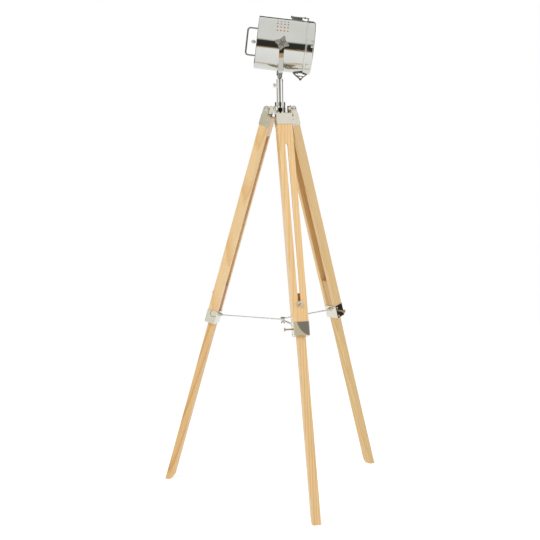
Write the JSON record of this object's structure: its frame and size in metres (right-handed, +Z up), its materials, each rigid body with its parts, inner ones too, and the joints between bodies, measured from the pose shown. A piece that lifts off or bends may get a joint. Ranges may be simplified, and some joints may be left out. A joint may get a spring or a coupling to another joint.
{
  "type": "tripod spotlight floor lamp",
  "caption": "Studio spotlight floor lamp: a drum-shaped chrome head tilts in a yoke on an adjustable wooden tripod with sliding, folding legs.",
  "frame": {"origin": "on the floor under the stem's axis, midway between the feet", "axes": "+X the way the head points, +Z up, +Y to the head's left"},
  "size_m": [0.6784, 0.6535, 1.4381],
  "materials": {
    "chrome": "polished",
    "wood": "satin varnish",
    "dark_steel": "satin, olive-grey plating",
    "latch_steel": "satin plating",
    "cast_zinc": "satin casting",
    "zinc_steel": "bright zinc plating",
    "black_plastic": "matt",
    "nylon": "matt",
    "black_steel": "blackened",
    "rubber": "matt",
    "bulb_glass": "opal",
    "clear_glass": "clear",
    "copper_reflector": "polished, copper-coloured"
  },
  "bodies": {
    "stand_hub": {"hub": "chrome", "leg_pivot_bolts": "chrome", "stem_tube": "chrome", "stem_collar": "chrome", "collar_screws": "black_steel", "stem_bush": "nylon"},
    "stem_lock": {"stem_thumbscrew": "chrome"},
    "leg_1": {"upper_leg_1": "wood", "leg_bracket_1": "chrome", "leg_clamp_1": "chrome", "leg_fasteners_1": "chrome"},
    "shin_1": {"lower_leg_1": "wood", "slot_bolt_1": "chrome"},
    "slot_lock_1": {"slot_knob_1": "chrome"},
    "side_lock_1": {"side_thumbscrew_1": "chrome"},
    "arm_1": {"brace_arm_1": "zinc_steel", "brace_cap": "dark_steel"},
    "leg_2": {"upper_leg_2": "wood", "leg_bracket_2": "chrome", "leg_clamp_2": "chrome", "leg_fasteners_2": "chrome"},
    "shin_2": {"lower_leg_2": "wood", "slot_bolt_2": "chrome"},
    "slot_lock_2": {"slot_knob_2": "chrome"},
    "side_lock_2": {"side_thumbscrew_2": "chrome"},
    "arm_2": {"brace_arm_2": "zinc_steel"},
    "leg_3": {"upper_leg_3": "wood", "leg_bracket_3": "chrome", "leg_clamp_3": "chrome", "leg_fasteners_3": "chrome"},
    "shin_3": {"lower_leg_3": "wood", "slot_bolt_3": "chrome"},
    "slot_lock_3": {"slot_knob_3": "chrome"},
    "side_lock_3": {"side_thumbscrew_3": "chrome"},
    "arm_3": {"brace_arm_3": "zinc_steel"},
    "wing_nut": {"brace_wing_nut": "dark_steel"},
    "yoke": {"yoke": "chrome", "yoke_spigot": "chrome"},
    "head": {"drum_shell": "chrome", "rear_plate": "chrome", "rear_handle": "chrome", "cable_grommet": "rubber", "lampholder_bracket": "zinc_steel", "lampholder": "black_plastic", "bulb": "bulb_glass", "reflector": "copper_reflector", "tilt_bolts": "chrome", "tilt_washers": "nylon", "hinge_body_leaf": "dark_steel", "latch_base": "latch_steel"},
    "rear_lock": {"rear_knob": "chrome"},
    "star_near": {"star_knob_near": "cast_zinc"},
    "star_far": {"star_knob_far": "cast_zinc"},
    "door": {"door_ring": "chrome", "lens": "clear_glass", "lens_screws": "chrome", "hinge_door_leaf": "dark_steel", "latch_keeper": "latch_steel"},
    "lever": {"latch_lever": "latch_steel"},
    "bail": {"latch_bail": "latch_steel"}
  },
  "joints": [
    {"name": "stem_lock_turn", "type": "hinge", "parent": "stand_hub", "child": "stem_lock", "pos_m": [0, 0, 1.23], "axis": [-1, 0, 0], "continuous": true},
    {"name": "leg_fold_1", "type": "hinge", "parent": "stand_hub", "child": "leg_1", "pos_m": [0.02611, 0.0227, 1.16], "axis": [-0.6561, 0.7547, 0], "range_deg": [0, 14]},
    {"name": "leg_slide_1", "type": "slide", "parent": "leg_1", "child": "shin_1", "axis": [-0.2207, -0.1918, 0.9563], "range_m": [0, 0.475]},
    {"name": "slot_knob_turn_1", "type": "hinge", "parent": "shin_1", "child": "slot_lock_1", "pos_m": [0.16468, 0.14315, 0.59708], "axis": [0.7217, 0.6274, 0.2924], "continuous": true},
    {"name": "side_screw_turn_1", "type": "hinge", "parent": "leg_1", "child": "side_lock_1", "pos_m": [0.1663, 0.14456, 0.52507], "axis": [0.6561, -0.7547, 0], "continuous": true},
    {"name": "arm_swing_1", "type": "hinge", "parent": "leg_1", "child": "arm_1", "pos_m": [0.14978, 0.1302, 0.52726], "axis": [-0.6561, 0.7547, 0], "range_deg": [-80.01, 0]},
    {"name": "leg_fold_2", "type": "hinge", "parent": "stand_hub", "child": "leg_2", "pos_m": [-0.03272, 0.01127, 1.16], "axis": [-0.3256, -0.9455, 0], "range_deg": [0, 14]},
    {"name": "leg_slide_2", "type": "slide", "parent": "leg_2", "child": "shin_2", "axis": [0.2764, -0.0952, 0.9563], "range_m": [0, 0.475]},
    {"name": "slot_knob_turn_2", "type": "hinge", "parent": "shin_2", "child": "slot_lock_2", "pos_m": [-0.20631, 0.07104, 0.59708], "axis": [-0.9042, 0.3113, 0.2924], "continuous": true},
    {"name": "side_screw_turn_2", "type": "hinge", "parent": "leg_2", "child": "side_lock_2", "pos_m": [-0.20835, 0.07174, 0.52507], "axis": [0.3256, 0.9455, 0], "continuous": true},
    {"name": "arm_swing_2", "type": "hinge", "parent": "leg_2", "child": "arm_2", "pos_m": [-0.18764, 0.06461, 0.52726], "axis": [-0.3256, -0.9455, 0], "range_deg": [-91, 0]},
    {"name": "leg_fold_3", "type": "hinge", "parent": "stand_hub", "child": "leg_3", "pos_m": [0.0066, -0.03396, 1.16], "axis": [0.9816, 0.1908, 0], "range_deg": [0, 14]},
    {"name": "leg_slide_3", "type": "slide", "parent": "leg_3", "child": "shin_3", "axis": [-0.0558, 0.287, 0.9563], "range_m": [0, 0.475]},
    {"name": "slot_knob_turn_3", "type": "hinge", "parent": "shin_3", "child": "slot_lock_3", "pos_m": [0.04163, -0.21419, 0.59708], "axis": [0.1825, -0.9387, 0.2924], "continuous": true},
    {"name": "side_screw_turn_3", "type": "hinge", "parent": "leg_3", "child": "side_lock_3", "pos_m": [0.04204, -0.2163, 0.52507], "axis": [-0.9816, -0.1908, 0], "continuous": true},
    {"name": "arm_swing_3", "type": "hinge", "parent": "leg_3", "child": "arm_3", "pos_m": [0.03787, -0.19481, 0.52726], "axis": [0.9816, 0.1908, 0], "range_deg": [-100, 0]},
    {"name": "wing_nut_turn", "type": "hinge", "parent": "arm_3", "child": "wing_nut", "pos_m": [0, 0, 0.51726], "axis": [-0.0096, 0.0494, 0.9987], "continuous": true},
    {"name": "head_pan", "type": "hinge", "parent": "stand_hub", "child": "yoke", "pos_m": [0, 0, 1.2], "axis": [0, 0, 1], "range_deg": [-170, 170]},
    {"name": "head_tilt", "type": "hinge", "parent": "yoke", "child": "head", "pos_m": [0.00493, 0, 1.351], "axis": [0, 1, 0], "range_deg": [-21, 11.5]},
    {"name": "rear_knob_turn", "type": "hinge", "parent": "head", "child": "rear_lock", "pos_m": [-0.07443, 0, 1.3611], "axis": [-0.992, 0, 0.1262], "continuous": true},
    {"name": "star_knob_near_turn", "type": "hinge", "parent": "head", "child": "star_near", "pos_m": [0.00493, -0.092, 1.351], "axis": [0, -1, 0], "continuous": true},
    {"name": "star_knob_far_turn", "type": "hinge", "parent": "head", "child": "star_far", "pos_m": [0.00493, 0.092, 1.351], "axis": [0, 1, 0], "continuous": true},
    {"name": "door_open", "type": "hinge", "parent": "head", "child": "door", "pos_m": [0.06182, 0, 1.24749], "axis": [0, 1, 0], "range_deg": [0, 100]},
    {"name": "latch_lever_lift", "type": "hinge", "parent": "head", "child": "lever", "pos_m": [0.06556, 0, 1.42897], "axis": [0, 1, 0], "range_deg": [0, 95]},
    {"name": "latch_bail_lift", "type": "hinge", "parent": "lever", "child": "bail", "pos_m": [0.05794, 0, 1.43246], "axis": [0, 1, 0], "range_deg": [-114.1, 0]}
  ],
  "couplings": [
    {"joint": "arm_swing_1", "follows": "leg_fold_1", "ratio": -5.7143},
    {"joint": "leg_fold_2", "follows": "leg_fold_1", "ratio": 1},
    {"joint": "arm_swing_2", "follows": "leg_fold_1", "ratio": -6.5},
    {"joint": "leg_fold_3", "follows": "leg_fold_1", "ratio": 1},
    {"joint": "arm_swing_3", "follows": "leg_fold_1", "ratio": -7.1429},
    {"joint": "latch_bail_lift", "follows": "latch_lever_lift", "ratio": -1.2}
  ]
}
